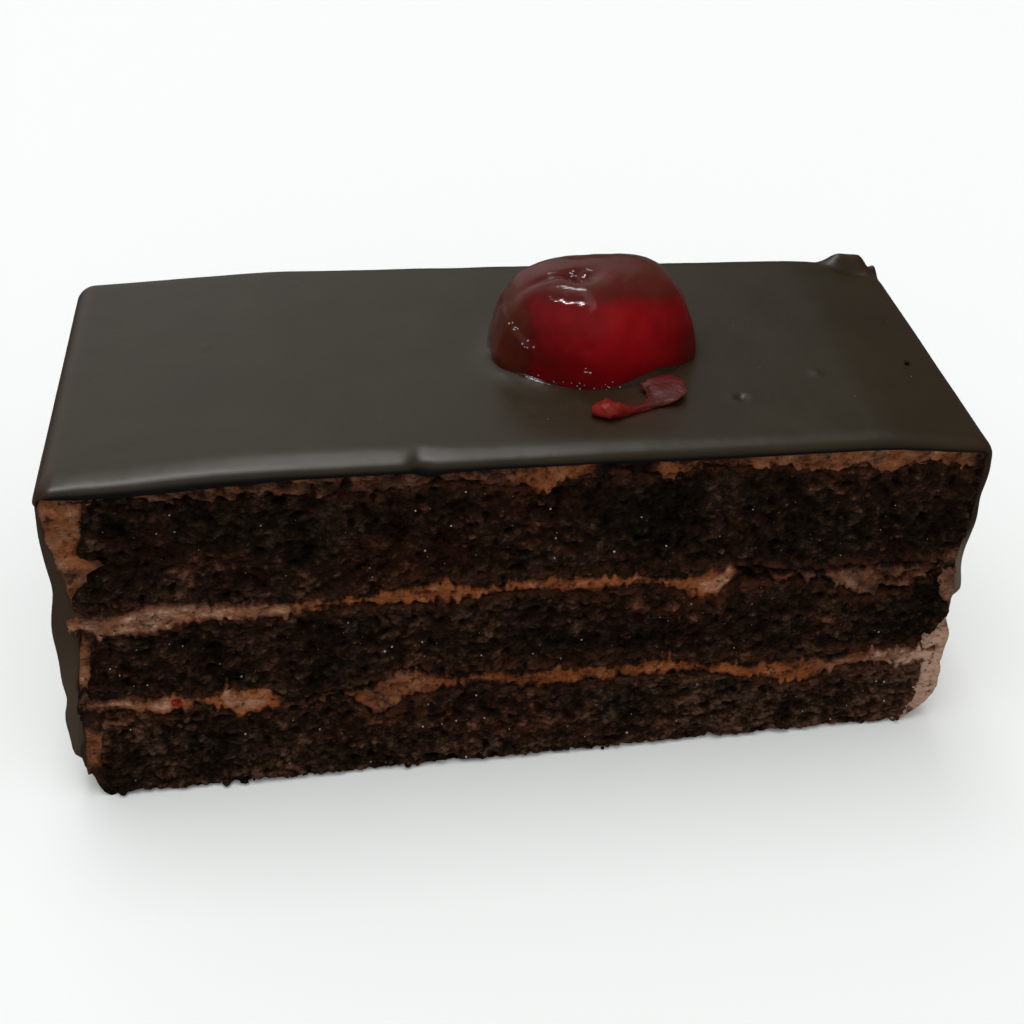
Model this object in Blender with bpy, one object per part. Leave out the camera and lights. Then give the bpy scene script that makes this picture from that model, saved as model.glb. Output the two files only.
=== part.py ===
"""Chocolate pastry: a slice of layer cake with a glace cherry, modelled in Blender.

Three chocolate sponges and two cream fillings run through from the front cut
face to the back one. A cream coat covers the top and both ends, a poured glaze
covers the coat, and half a cherry with a shred of cherry lies on the glaze.
The slice lies along X with its cut faces towards -Y and +Y, and stands on Z = 0.

Sizes are in millimetres. MM turns them into metres where a mesh is made.
"""

import math

import bmesh
import bpy

MM = 0.001

# Driving dimensions of the slice, before it settles
LENGTH = 96.0
DEPTH = 42.0
HEIGHT = 39.9
GAP = 0.3

# How far the uneven slice sits off centre before it is moved onto the origin
OFF_CENTRE_X = 0.3
OFF_CENTRE_Y = -0.48

# How the real slice strays from a straight-sided block: where its cut faces lie at the
# foot and at the top, each as a middle value and its change towards the right end
FRONT_FOOT, FRONT_TOP = (-21.3, 2.0), (-20.2, 0.2)
BACK_FOOT, BACK_TOP = (20.9, 0.3), (21.5, -0.5)

# How far its two ends sink, over how long a run, and how it leans to the right
LEFT_SINK, LEFT_SINK_RUN = 1.1, 24.0
RIGHT_SINK, RIGHT_SINK_RUN = 1.0, 13.0
LEAN_FOOT, LEAN_TOP = (0.2, 0.2), (0.3, 0.3)
LEAN_TO_BACK = 0.4

# The glaze and the cream coat under it
GLAZE_TOP = 1.4
GLAZE_LEFT = 1.2
GLAZE_RIGHT = 0.8
GLAZE_CORNER = 2.3
COAT_CORNER = 1.3
SPONGE_CORNER = 0.4
LIP_OVERHANG = 0.7
LIP_RADIUS = 1.5
LIP_NOSE = 0.25
GLAZE_FOOT_LEFT = 5.8
GLAZE_FOOT_RIGHT = 17.0
GLAZE_FOOT_WAVE = 0.9
GLAZE_FOOT_RIPPLE = 0.3
BARE_COAT_BULGE = 0.6
FOOT_TUCK = 2.2
FOOT_TUCK_HEIGHT = 4.5

# Where the coat's inside turns, before it follows the sponges: in from the end, and down
COAT_INSIDE_X = LENGTH / 2.0 - 3.0
COAT_INSIDE_Z = HEIGHT - 3.2

# Shares of the hoop's line at which its top turns into a corner, and the corner into an end
TOP_SHARE = 0.45
TURN_SHARE = 0.7

# The flick of glaze that the palette knife pulled up at the back right corner
FLICK_AT = (43.6, 21.3)
FLICK_REACH = 3.0
FLICK_RISE = 3.0

# The glace cherry and the shred of cherry in front of it
CHERRY_CENTRE = (9.0, -0.8)
CHERRY_HALF_WIDTH = 11.1
CHERRY_HALF_DEPTH = 9.3
CHERRY_WAIST = 2.2
CHERRY_RISE = 7.6
CHERRY_SQUARENESS = 2.35
CHERRY_BARREL = 2.6
CHERRY_FOOT_BARREL = 6.0
DIMPLE_AT = (-2.2, 2.4)
DIMPLE_REACH = 2.2
DIMPLE_SINK = 1.3
CHERRY_SLOPE = 0.06
CHERRY_SLOPE_FROM = 3.0
SHRED_CENTRE = (9.2, -8.0)
SHRED_BEND_RADIUS = 7.0
SHRED_START = math.radians(-107.0)
SHRED_END = math.radians(-8.0)
SHRED_HALF_WIDTH = 1.25
SHRED_SWELL = 0.25
SHRED_FULLNESS = 0.4
SHRED_HEIGHT = 1.4

SPONGE_COLOUR = (0.013, 0.006, 0.004)
CREAM_COLOUR = (0.115, 0.050, 0.028)
GLAZE_COLOUR = (0.035, 0.027, 0.022)
CHERRY_COLOUR = (0.25, 0.01, 0.012)
SHRED_COLOUR = (0.22, 0.03, 0.02)

# Heights where a layer meets the next one, as (x, z) points along the front
LOWER_CREAM_BASE = ((-46, 11.8), (-36, 10.6), (-27, 9.3), (-20, 10.5), (-15, 8.3), (-5, 10.8),
                    (4, 9.6), (18, 9.8), (31, 7.6), (38, 8.9), (46, 8.5))
LOWER_CREAM_TOP = ((-46, 14.0), (-30, 13.2), (-24, 11.4), (-12, 14.0), (-6, 12.9), (12, 12.8),
                   (24, 11.3), (46, 11.8))
UPPER_CREAM_BASE = ((-46, 21.7), (-39, 20.9), (-33, 21.7), (-27, 21.3), (-18, 22.3), (1, 22.7),
                    (13, 22.6), (19, 20.7), (25, 22.0), (32, 21.3), (38, 19.1), (46, 22.3))
UPPER_CREAM_TOP = ((-46, 24.4), (-36, 25.2), (-26, 24.0), (-9, 25.0), (3, 24.8), (30, 23.7),
                   (46, 24.0))
COAT_BASE = ((-46, 37.0), (-32, 35.9), (-15, 35.7), (-8, 36.3), (0, 35.3), (9, 36.7),
             (30, 35.6), (46, 36.3))

# Where the sponges end and the cream of the end walls begins, as (z, x) points
LEFT_SPONGE_END = ((0, -45.2), (8, -44.4), (14, -45.0), (20, -44.3), (26, -45.1), (30, -43.2),
                   (37, -43.4))
RIGHT_SPONGE_END = ((0, 45.3), (12, 45.2), (17, 46.2), (23, 45.3), (30, 46.2), (37, 46.5))


def ease(t):
    """Smooth step from 0 to 1."""
    t = min(1.0, max(0.0, t))
    return t * t * (3.0 - 2.0 * t)


def mix(a, b, t):
    return a + (b - a) * t


def along(points, position):
    """Value at a position on a line that eases from each point to the next."""
    for (start, low), (end, high) in zip(points, points[1:]):
        if position <= end:
            return mix(low, high, ease((position - start) / (end - start)))
    return points[-1][1]


def level(points, x, y):
    """Height of a layer's edge: as listed at the front, and turned about at the back."""
    return mix(along(points, x), along(points, -x), ease(0.5 + y / DEPTH))


def sloped(foot, top, side, rise):
    """Value at a place along and up the slice, from (middle, change) at its foot and top."""
    return mix(foot[0] + foot[1] * side, top[0] + top[1] * side, rise)


def settle(x, y, z):
    """Move a point of the straight-sided slice to where it lies in the real, uneven one."""
    rise = z / HEIGHT
    side = 2.0 * x / LENGTH
    sink = LEFT_SINK * ease(1.0 - (x + LENGTH / 2.0) / LEFT_SINK_RUN)
    sink += RIGHT_SINK * ease(1.0 + (x - LENGTH / 2.0) / RIGHT_SINK_RUN)
    front = sloped(FRONT_FOOT, FRONT_TOP, side, rise)
    back = sloped(BACK_FOOT, BACK_TOP, side, rise)
    lean = sloped(LEAN_FOOT, LEAN_TOP, side, rise) + LEAN_TO_BACK * rise * y / DEPTH
    settled_y = mix(front, back, 0.5 + y / DEPTH)
    return x + lean - OFF_CENTRE_X, settled_y - OFF_CENTRE_Y, z - sink * rise


def finish(name, bm, colour, roughness):
    """Turn a bmesh in millimetres into a named object with its own material."""
    for vert in bm.verts:
        vert.co = [MM * value for value in settle(*vert.co)]
    bmesh.ops.recalc_face_normals(bm, faces=bm.faces)
    if bm.calc_volume(signed=True) < 0.0:
        bmesh.ops.reverse_faces(bm, faces=bm.faces)
    mesh = bpy.data.meshes.new(name)
    bm.to_mesh(mesh)
    bm.free()
    mesh.shade_smooth()
    mesh.set_sharp_from_angle(angle=math.radians(40.0))
    material = bpy.data.materials.new(name)
    material.use_nodes = True
    shader = material.node_tree.nodes["Principled BSDF"]
    shader.inputs["Base Color"].default_value = (*colour, 1.0)
    shader.inputs["Roughness"].default_value = roughness
    shader.inputs["Metallic"].default_value = 0.0
    mesh.materials.append(material)
    piece = bpy.data.objects.new(name, mesh)
    bpy.context.collection.objects.link(piece)
    return piece


def moulded_block(cuts, place):
    """Closed block cut into a grid, each corner (u, v, w) in -1..1 put where place says."""
    bm = bmesh.new()
    bmesh.ops.create_cube(bm, size=2.0)
    for axis, count in enumerate(cuts):
        edges = [e for e in bm.edges if abs((e.verts[0].co - e.verts[1].co)[axis]) > 1.0]
        bmesh.ops.subdivide_edges(bm, edges=edges, cuts=count - 1, use_grid_fill=True)
    for vert in bm.verts:
        vert.co = place(*vert.co)
    return bm


def layer(name, base, top, colour):
    """A sponge or a filling: a slab that runs through between the two end walls."""

    def place(u, v, w):
        y = v * DEPTH / 2.0
        share = 0.5 + w / 2.0
        x = COAT_INSIDE_X * u
        z = mix(base(x, y), top(x, y), share)
        x = mix(along(LEFT_SPONGE_END, z), along(RIGHT_SPONGE_END, z), 0.5 + u / 2.0)
        return x, y, mix(base(x, y), top(x, y), share)

    return finish(name, moulded_block((24, 8, 2), place), colour, 0.85)


def shared(points, side):
    """Edge of a layer, half a gap above (side 1) or below (side -1) the line it shares."""
    return lambda x, y: level(points, x, y) + side * GAP / 2.0


def hoop(s, half_length, top, radius, foot):
    """Point at s on a line that climbs one end, turns over the top and runs down the other.

    s runs from -1 to 1. The top takes the middle, and its points crowd towards the turns.
    """
    run = abs(s)
    if run < TOP_SHARE:
        x = (half_length - radius) * math.sin(0.5 * math.pi * run / TOP_SHARE)
        z = top
    elif run < TURN_SHARE:
        turn = 0.5 * math.pi * (run - TOP_SHARE) / (TURN_SHARE - TOP_SHARE)
        x = half_length - radius + radius * math.sin(turn)
        z = top - radius + radius * math.cos(turn)
    else:
        x = half_length
        z = mix(top - radius, foot, (run - TURN_SHARE) / (1.0 - TURN_SHARE))
    return math.copysign(x, s), z


def coat_outside(s, clearance):
    """Outer skin of the cream coat, or a skin at a clearance outside it."""
    if s < 0.0:
        half_length = LENGTH / 2.0 - GLAZE_LEFT - GAP
    else:
        half_length = LENGTH / 2.0 - GLAZE_RIGHT - GAP
    top = HEIGHT - GLAZE_TOP - GAP
    return hoop(s, half_length + clearance, top + clearance, COAT_CORNER + clearance, 0.0)


def cream_coat():
    """Cream over the top and both ends, as an arch with the sponges inside it."""

    def place(u, v, w):
        y = v * DEPTH / 2.0
        outer_x, outer_z = coat_outside(u, 0.0)
        if outer_x > 0.0:
            outer_x += BARE_COAT_BULGE * ease((GLAZE_FOOT_RIGHT - 2.0 - outer_z) / 3.0)
        tuck = max(0.0, 1.0 - outer_z / FOOT_TUCK_HEIGHT)
        outer_x -= math.copysign(FOOT_TUCK * tuck * tuck, outer_x)
        inner_x, inner_z = hoop(u, COAT_INSIDE_X, COAT_INSIDE_Z, SPONGE_CORNER, 0.0)
        corner_x = math.copysign(COAT_INSIDE_X, u)
        if abs(u) < TOP_SHARE:
            inner_z = level(COAT_BASE, inner_x, y) + GAP / 2.0
        elif abs(u) < TURN_SHARE:
            inner_z += level(COAT_BASE, corner_x, y) + GAP / 2.0 - COAT_INSIDE_Z
        if abs(u) >= TOP_SHARE:
            ends = LEFT_SPONGE_END if u < 0.0 else RIGHT_SPONGE_END
            inner_x += along(ends, inner_z) + math.copysign(GAP, u) - corner_x
        share = 0.5 + w / 2.0
        return mix(inner_x, outer_x, share), y, mix(inner_z, outer_z, share)

    return finish("cream_coat", moulded_block((40, 8, 1), place), CREAM_COLOUR, 0.6)


def glaze():
    """Poured glaze: a thin arch over the coat, with a rounded lip along both cut faces."""

    def place(u, v, w):
        y = (DEPTH / 2.0 + LIP_OVERHANG) * math.sin(0.5 * math.pi * v)
        inner_x, inner_z = coat_outside(u, GAP)
        outer_x, outer_z = hoop(u, LENGTH / 2.0, HEIGHT, GLAZE_CORNER, 0.0)
        foot = GLAZE_FOOT_LEFT if u < 0.0 else GLAZE_FOOT_RIGHT
        foot += GLAZE_FOOT_WAVE * math.sin(0.55 * y + 3.0 * u)
        foot -= GLAZE_FOOT_RIPPLE * math.cos(1.3 * y)
        if abs(u) > TURN_SHARE:
            hang = (abs(u) - TURN_SHARE) / (1.0 - TURN_SHARE)
            inner_z = outer_z = mix(HEIGHT - GLAZE_CORNER, foot, hang)
        near = max(0.0, LIP_RADIUS - (DEPTH / 2.0 + LIP_OVERHANG - abs(y))) / LIP_RADIUS
        nose = mix(LIP_NOSE, 1.0, math.sqrt(max(0.0, 1.0 - near * near)))
        share = (0.5 + w / 2.0) * nose
        x, z = mix(inner_x, outer_x, share), mix(inner_z, outer_z, share)
        if w > 0.0:
            away = math.hypot(x - FLICK_AT[0], y - FLICK_AT[1]) / FLICK_REACH
            z += FLICK_RISE * max(0.0, 1.0 - away) * ease(1.0 + z - HEIGHT + GLAZE_TOP)
        return x, y, z

    return finish("glaze", moulded_block((40, 18, 1), place), GLAZE_COLOUR, 0.35)


def cherry():
    """Half a glace cherry: a squat barrel with a flat foot, a flattish top and a dimple."""
    bm = bmesh.new()
    bmesh.ops.create_uvsphere(bm, u_segments=30, v_segments=16, radius=1.0)
    foot = HEIGHT + GAP
    for vert in bm.verts:
        x, y, z = vert.co
        turn = math.atan2(y, x)
        square = (abs(math.cos(turn)) ** CHERRY_SQUARENESS
                  + abs(math.sin(turn)) ** CHERRY_SQUARENESS) ** (-1.0 / CHERRY_SQUARENESS)
        tilt = math.atan2(z, math.hypot(x, y))
        bulge = CHERRY_BARREL if z > 0.0 else CHERRY_FOOT_BARREL
        barrel = (math.cos(tilt) ** bulge + abs(math.sin(tilt)) ** bulge) ** (-1.0 / bulge)
        reach = math.cos(tilt) * barrel * square
        x = CHERRY_HALF_WIDTH * reach * math.cos(turn)
        y = CHERRY_HALF_DEPTH * reach * math.sin(turn)
        height = math.sin(tilt) * barrel
        z = foot + CHERRY_WAIST + height * (CHERRY_RISE if height > 0.0 else CHERRY_WAIST)
        away = math.hypot(x - DIMPLE_AT[0], y - DIMPLE_AT[1]) / DIMPLE_REACH
        if height > 0.0:
            z -= DIMPLE_SINK * math.exp(-away * away)
            z -= CHERRY_SLOPE * max(0.0, CHERRY_SLOPE_FROM - x)
        vert.co = (x + CHERRY_CENTRE[0], y + CHERRY_CENTRE[1], z)
    return finish("cherry", bm, CHERRY_COLOUR, 0.15)


def cherry_shred():
    """A bent shred of cherry, thick at one end and leaf-like at the other."""
    bm = bmesh.new()
    bmesh.ops.create_uvsphere(bm, u_segments=10, v_segments=14, radius=1.0)
    for vert in bm.verts:
        across, up, run = vert.co
        share = 0.5 + 0.5 * run
        girth = math.sqrt(max(0.0, 1.0 - run * run))
        fullness = girth ** -SHRED_FULLNESS if girth > 0.05 else 1.0
        half_width = SHRED_HALF_WIDTH * (1.0 + SHRED_SWELL * math.cos(2.0 * math.pi * share))
        turn = mix(SHRED_START, SHRED_END, share)
        reach = SHRED_BEND_RADIUS + across * fullness * half_width
        x = SHRED_CENTRE[0] + reach * math.cos(turn)
        y = SHRED_CENTRE[1] + reach * math.sin(turn)
        z = HEIGHT + GAP + SHRED_HEIGHT * (0.5 + 0.5 * up * fullness)
        vert.co = (x, y, z)
    return finish("cherry_shred", bm, SHRED_COLOUR, 0.25)


def main():
    for old in list(bpy.data.objects):
        bpy.data.objects.remove(old, do_unlink=True)
    layer("sponge_lower", lambda x, y: 0.0, shared(LOWER_CREAM_BASE, -1), SPONGE_COLOUR)
    layer("cream_lower", shared(LOWER_CREAM_BASE, 1), shared(LOWER_CREAM_TOP, -1), CREAM_COLOUR)
    layer("sponge_middle", shared(LOWER_CREAM_TOP, 1), shared(UPPER_CREAM_BASE, -1),
          SPONGE_COLOUR)
    layer("cream_upper", shared(UPPER_CREAM_BASE, 1), shared(UPPER_CREAM_TOP, -1), CREAM_COLOUR)
    layer("sponge_upper", shared(UPPER_CREAM_TOP, 1), shared(COAT_BASE, -1), SPONGE_COLOUR)
    cream_coat()
    glaze()
    cherry()
    cherry_shred()


main()
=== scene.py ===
"""Looks of the chocolate pastry: torn sponge, smeared cream, poured glaze and a wet cherry.

Shapes are worked out in millimetres on a straight-sided slice and then settled onto
the uneven one, as in the solid model. MM turns them into metres where a mesh is made.
"""

import math
import random

import bmesh
import bpy
from mathutils import Matrix, Vector, noise


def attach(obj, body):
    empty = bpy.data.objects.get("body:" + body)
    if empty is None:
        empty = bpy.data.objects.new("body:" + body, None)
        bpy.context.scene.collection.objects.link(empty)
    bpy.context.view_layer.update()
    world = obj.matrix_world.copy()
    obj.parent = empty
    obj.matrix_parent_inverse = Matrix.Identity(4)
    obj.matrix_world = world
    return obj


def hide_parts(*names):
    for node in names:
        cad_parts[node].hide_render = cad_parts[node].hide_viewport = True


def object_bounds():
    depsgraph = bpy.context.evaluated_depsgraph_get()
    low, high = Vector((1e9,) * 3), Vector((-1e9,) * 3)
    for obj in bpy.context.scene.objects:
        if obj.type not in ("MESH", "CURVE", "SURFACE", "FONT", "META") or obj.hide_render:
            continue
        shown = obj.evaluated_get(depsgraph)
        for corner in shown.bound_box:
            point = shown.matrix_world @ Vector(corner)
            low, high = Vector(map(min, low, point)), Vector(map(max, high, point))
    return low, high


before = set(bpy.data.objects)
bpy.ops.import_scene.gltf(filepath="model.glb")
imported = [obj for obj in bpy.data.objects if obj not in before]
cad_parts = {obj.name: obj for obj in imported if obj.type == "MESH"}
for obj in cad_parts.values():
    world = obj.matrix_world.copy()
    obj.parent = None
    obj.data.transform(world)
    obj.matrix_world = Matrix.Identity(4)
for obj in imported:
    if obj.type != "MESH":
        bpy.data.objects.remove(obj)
cad_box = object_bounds()

# Noise vectors are drawn from a seed: this one gives the same crumb each run
noise.seed_set(1)

MM = 0.001

# The slice, as in the solid model
LENGTH = 96.0
DEPTH = 42.0
HEIGHT = 39.9
OFF_CENTRE_X = 0.3
OFF_CENTRE_Y = -0.48

# How it strays from a straight-sided block: where its cut faces lie at the foot and at the
# top, each as a middle value and its change towards the right end
FRONT_FOOT, FRONT_TOP = (-21.3, 2.0), (-20.2, 0.2)
BACK_FOOT, BACK_TOP = (20.9, 0.3), (21.5, -0.5)

# How far its two ends sink, over how long a run, and how it leans to the right
LEFT_SINK, LEFT_SINK_RUN = 1.1, 24.0
RIGHT_SINK, RIGHT_SINK_RUN = 1.0, 13.0
LEAN_FOOT, LEAN_TOP = (0.2, 0.2), (0.3, 0.3)
LEAN_TO_BACK = 0.4

# How far each layer reaches under the one laid over it, and a smear past its edge
OVERLAP = 0.3
FILLING_MARGIN = 0.9
COAT_MARGIN = 0.8

# How steeply cream goes in under the sponge past its edge
EDGE_SINK = 1.9

# How fine each piece is: columns and rows over its fine faces, and steps between them
SPONGE_GRID = (500, 64, 8)
FILLING_GRID = (640, 24, 8)
COAT_GRID = (620, 14, 10)
GLAZE_GRID = (336, 140, 1)
SYRUP_GRID = (120, 16, 1)

# Shares of the line over the slice at which its top turns into a corner and then an end
TOP_SHARE = 0.70
TURN_SHARE = 0.79

# The glaze and the cream coat
GLAZE_TOP = 1.45
GLAZE_RIGHT = 0.85
GLAZE_CORNER = 2.3
GLAZE_FOOT_LEFT = 3.8
GLAZE_FOOT_RIGHT = 17.0
COAT_CORNER = 1.3
LIP_OVERHANG = 0.7
LIP_ROLL_LEFT = 3.4
LIP_ROLL_RIGHT = 2.2
END_LIP_ROLL = 0.5
END_OVERHANG = 0.05
LIP_TUCK = 0.5
LIP_NOTCH = 11.0
LIP_NOTCH_DEPTH = 0.45

# Thickness of the glaze down the left end, as (z, thickness) points
GLAZE_LEFT = ((0, 0.1), (3, 0.8), (6, 1.5), (9, 1.8), (12, 1.3), (15, 1.9), (19, 2.3),
              (22, 2.9), (25, 1.6), (30, 1.4), (34, 0.7), (38, 0.5))

# Heights where a layer meets the next one, as (x, z) points along the front
LOWER_CREAM_BASE = ((-46, 11.9), (-42, 11.1), (-38, 10.3), (-34, 11.1), (-30, 9.4), (-24, 9.2),
                    (-20, 10.6), (-15.5, 7.4), (-12, 9.8), (-5, 10.8), (2, 9.5), (9, 10.0),
                    (18, 9.8), (25, 8.6), (31.6, 7.0), (36, 8.9), (46, 8.4))
LOWER_CREAM_TOP = ((-46, 14.2), (-42, 13.7), (-38, 13.2), (-34, 12.7), (-31, 13.3),
                   (-27, 13.2), (-24, 11.3), (-20, 12.1), (-15, 12.9), (-12, 14.5), (-9, 13.1),
                   (8, 12.6), (13, 12.9), (24, 11.3), (34, 11.3), (40, 11.9), (46, 11.7))
UPPER_CREAM_BASE = ((-46, 21.7), (-39.5, 20.7), (-33, 21.8), (-27, 21.3), (-21, 22.2), (-9, 21.9),
                    (1.4, 22.8), (7, 21.8), (13, 22.7), (19, 20.3), (23, 22.1), (32, 21.3),
                    (37, 18.8), (41, 19.5), (46, 22.5))
UPPER_CREAM_TOP = ((-46, 24.6), (-41, 24.2), (-37, 25.3), (-29, 24.1), (-21, 23.9), (-9, 25.1),
                   (-5, 24.3), (3, 24.9), (15, 24.1), (22.6, 24.6), (30, 23.5), (46, 24.0))
COAT_BASE = ((-46, 37.0), (-41, 37.4), (-34, 36.1), (-30, 35.7), (-15, 35.6), (-9, 36.4),
             (-1, 35.4), (1.5, 34.9), (4, 36.2), (9, 37.0), (13, 35.9), (17, 36.6), (25, 36.4),
             (31, 35.5), (34, 36.3), (37, 35.3), (42, 36.6), (46, 36.0))

# Where the sponges end and the cream of the end walls begins, as (z, x) points
LEFT_SPONGE_END = ((0, -43.4), (1.5, -44.7), (4, -44.9), (10, -44.1), (14.6, -45.0),
                   (20, -44.2), (26, -45.3), (28.5, -43.6), (30, -41.9), (31.5, -44.2),
                   (34, -43.5), (37, -43.1))
RIGHT_SPONGE_END = ((0, 43.0), (1.2, 44.2), (3, 45.0), (5, 45.2), (12, 45.0), (16.6, 46.9),
                    (20, 45.4), (24, 45.0), (28, 46.9), (33, 47.1), (37, 46.9))

# How clean and how orange the cream of the end walls shows at the front, by height
LEFT_END_CLEAN = ((0, 0.1), (3, 0.2), (5, 0.6), (8, 0.7), (10.5, 0.15), (13, 0.3), (16, 0.75),
                  (19, 0.65), (21, 0.4), (24, 0.7), (28, 0.55), (31, 0.75), (37, 0.8))
LEFT_END_WARM = ((0, 0.2), (8, 0.5), (12, 0.1), (17, 0.4), (22, 0.2), (26, 0.2), (32, 0.6),
                 (37, 0.5))
RIGHT_END_CLEAN = ((0, 1.0), (4, 1.3), (10, 1.25), (15, 1.0), (17.5, 0.7), (21, 0.75), (24, 0.6),
                   (26.5, 0.2), (28, -0.2), (35, -0.2), (37, 0.3))
RIGHT_END_WARM = 0.0

# How far the lip of the glaze hangs below its top along the front, as (x, drop) points
LIP_HANG = ((-47, 2.1), (-42, 2.4), (-34, 2.5), (-28, 2.4), (-22, 2.1), (-12.5, 2.0),
            (-10, 2.6), (-7.5, 2.1), (-4, 2.0), (6, 1.9), (17, 2.1), (30, 2.0), (46, 1.9))

# How clean the cream shows along a cut, from stained dark at 0 to pale at 1, by x
COAT_CLEAN = ((-46, 0.75), (-43, 0.55), (-40, 0.42), (-36, 0.47), (-24, 0.46), (-3, 0.47),
              (0, 0.45), (2, 0.75), (5.5, 0.65), (7, 0.1), (12, 0.12), (14, 0.65), (17, 0.4),
              (20, 0.3), (23, 0.7), (40, 0.75), (45, 0.6), (47, 0.8))
LOWER_CLEAN = ((-46, 0.65), (-38, 1.0), (-34, 0.75), (-31, 1.0), (-28, 0.95), (-25, 0.3),
               (-17, 0.5), (-12, 0.8), (-8, 0.5), (4, 0.55), (10, 0.7), (18, 0.55), (26, 0.75),
               (31, 0.6), (36, 0.8), (46, 1.2))
UPPER_CLEAN = ((-46, 0.85), (-30, 0.95), (-20, 0.8), (-12, 0.65), (-4, 0.8), (8, 0.75), (15, 0.6),
               (21.5, 1.0), (23, 0.1), (26, 0.4), (30, 0.4), (34, 0.75), (39, 0.5), (46, 0.45))

# How orange the cream shows along a cut, from mauve at 0 to orange at 1, by x
COAT_WARM = ((-46, 0.15), (-4, 0.15), (1, 0.75), (18, 0.75), (26, 0.5), (46, 0.5))
LOWER_WARM = ((-46, 0.2), (-39, 0.5), (-33, 0.8), (-26, 0.9), (-12, 0.5), (-9, 1.0), (20, 1.1),
              (25, 1.5), (31, 1.3), (34, 0.4), (46, 0.0))
UPPER_WARM = ((-46, 0.2), (-26, 0.3), (-18, 0.9), (12, 1.0), (19, 0.9), (22, 0.3), (26, 0.6),
              (32, 0.1), (46, 0.2))

# How much of the cream is broken up by crumbs along a cut, from -1 to 1, by x
LOWER_BROKEN = ((-46, 0.0), (-26, -0.1), (-22, 0.6), (-14, 0.5), (-8, 0.3), (0, 0.1), (22, 0.1),
                (27, -0.2), (34, 0.3), (38, 0.5), (46, 0.1))
UPPER_BROKEN = ((-46, 0.0), (-24, 0.0), (-14, 0.3), (0, 0.25), (12, 0.1), (19, -0.3),
                (21.5, -0.5), (23, 1.0), (34, 0.45), (42, 0.8), (46, 0.5))
COAT_BROKEN = ((-46, 0.0), (-42, 0.3), (-34, 0.55), (-3, 0.5), (1, 0.0), (5, 0.0), (8, 0.6),
               (12, 0.6), (15, 0.2), (20, 0.5), (24, 0.1), (40, 0.1), (46, 0.3))


# -------- shape helpers


def ease(t):
    """Smooth step from 0 to 1."""
    t = min(1.0, max(0.0, t))
    return t * t * (3.0 - 2.0 * t)


def mix(a, b, t):
    """Value a share t of the way from a to b."""
    return a + (b - a) * t


def bump(distance, reach):
    """1 at no distance, falling smoothly to nothing past the reach."""
    return math.exp(-((distance / reach) ** 2))


def sign(value):
    """1 or -1, by the side that a value lies on."""
    return math.copysign(1.0, value)


def along(points, position):
    """Value at a position on a line that eases from each point to the next."""
    for (start, low), (end, high) in zip(points, points[1:]):
        if position <= end:
            return mix(low, high, ease((position - start) / (end - start)))
    return points[-1][1]


def level(points, x, y):
    """Height of a layer's edge: as listed at the front, and turned about at the back."""
    return mix(along(points, x), along(points, -x), ease(0.5 + y / DEPTH))


def wander(x, y, z):
    """Smooth random value from -1 to 1 at a place."""
    return noise.noise(Vector((x, y, z)))


def sloped(foot, top, side, rise):
    """Value at a place along and up the slice, from (middle, change) at its foot and top."""
    return mix(foot[0] + foot[1] * side, top[0] + top[1] * side, rise)


def settle(x, y, z):
    """Move a point of the straight-sided slice to where it lies in the real, uneven one."""
    rise = z / HEIGHT
    side = 2.0 * x / LENGTH
    sink = LEFT_SINK * ease(1.0 - (x + LENGTH / 2.0) / LEFT_SINK_RUN)
    sink += RIGHT_SINK * ease(1.0 + (x - LENGTH / 2.0) / RIGHT_SINK_RUN)
    front = sloped(FRONT_FOOT, FRONT_TOP, side, rise)
    back = sloped(BACK_FOOT, BACK_TOP, side, rise)
    lean = sloped(LEAN_FOOT, LEAN_TOP, side, rise) + LEAN_TO_BACK * rise * y / DEPTH
    settled_y = mix(front, back, 0.5 + y / DEPTH)
    return x + lean - OFF_CENTRE_X, settled_y - OFF_CENTRE_Y, z - sink * rise


def at_cut(through):
    """How near a place is to a cut face, by its share through: 0 inside and 1 at the face."""
    return max(0.0, 4.0 * (abs(through) - 0.75))


def hoop(s, half_length, top, radius, foot):
    """Point at s on a line that climbs one end, turns over the top and runs down the other."""
    run = abs(s)
    if run < TOP_SHARE:
        x = (half_length - radius) * run / TOP_SHARE
        z = top
    elif run < TURN_SHARE:
        turn = 0.5 * math.pi * (run - TOP_SHARE) / (TURN_SHARE - TOP_SHARE)
        x = half_length - radius + radius * math.sin(turn)
        z = top - radius + radius * math.cos(turn)
    else:
        x = half_length
        z = mix(top - radius, foot, (run - TURN_SHARE) / (1.0 - TURN_SHARE))
    return sign(s) * x, z


def solid_grid(columns, rows, steps, place, layers):
    """Closed solid with two opposite fine faces, and its points put where place says.

    place takes three shares in -1..1: across and up the fine faces, then from one to the
    other. It gives x, y, z in millimetres and a value for each of the named layers.
    """
    bm = bmesh.new()
    bmesh.ops.create_grid(bm, x_segments=columns, y_segments=rows, size=1.0)
    grown = bmesh.ops.extrude_face_region(bm, geom=bm.faces[:])
    far = [item for item in grown["geom"] if isinstance(item, bmesh.types.BMVert)]
    bmesh.ops.translate(bm, verts=far, vec=(0.0, 0.0, 1.0))
    if steps > 1:
        spans = [e for e in bm.edges if abs(e.verts[0].co.z - e.verts[1].co.z) > 0.5]
        bmesh.ops.subdivide_edges(bm, edges=spans, cuts=steps - 1, use_grid_fill=True)
    stores = [bm.verts.layers.float.new(name) for name in layers]
    for vert in bm.verts:
        x, y, z, *values = place(vert.co.x, vert.co.y, 2.0 * vert.co.z - 1.0)
        vert.co = (x, y, z)
        for store, value in zip(stores, values):
            vert[store] = value
    return bm


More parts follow.
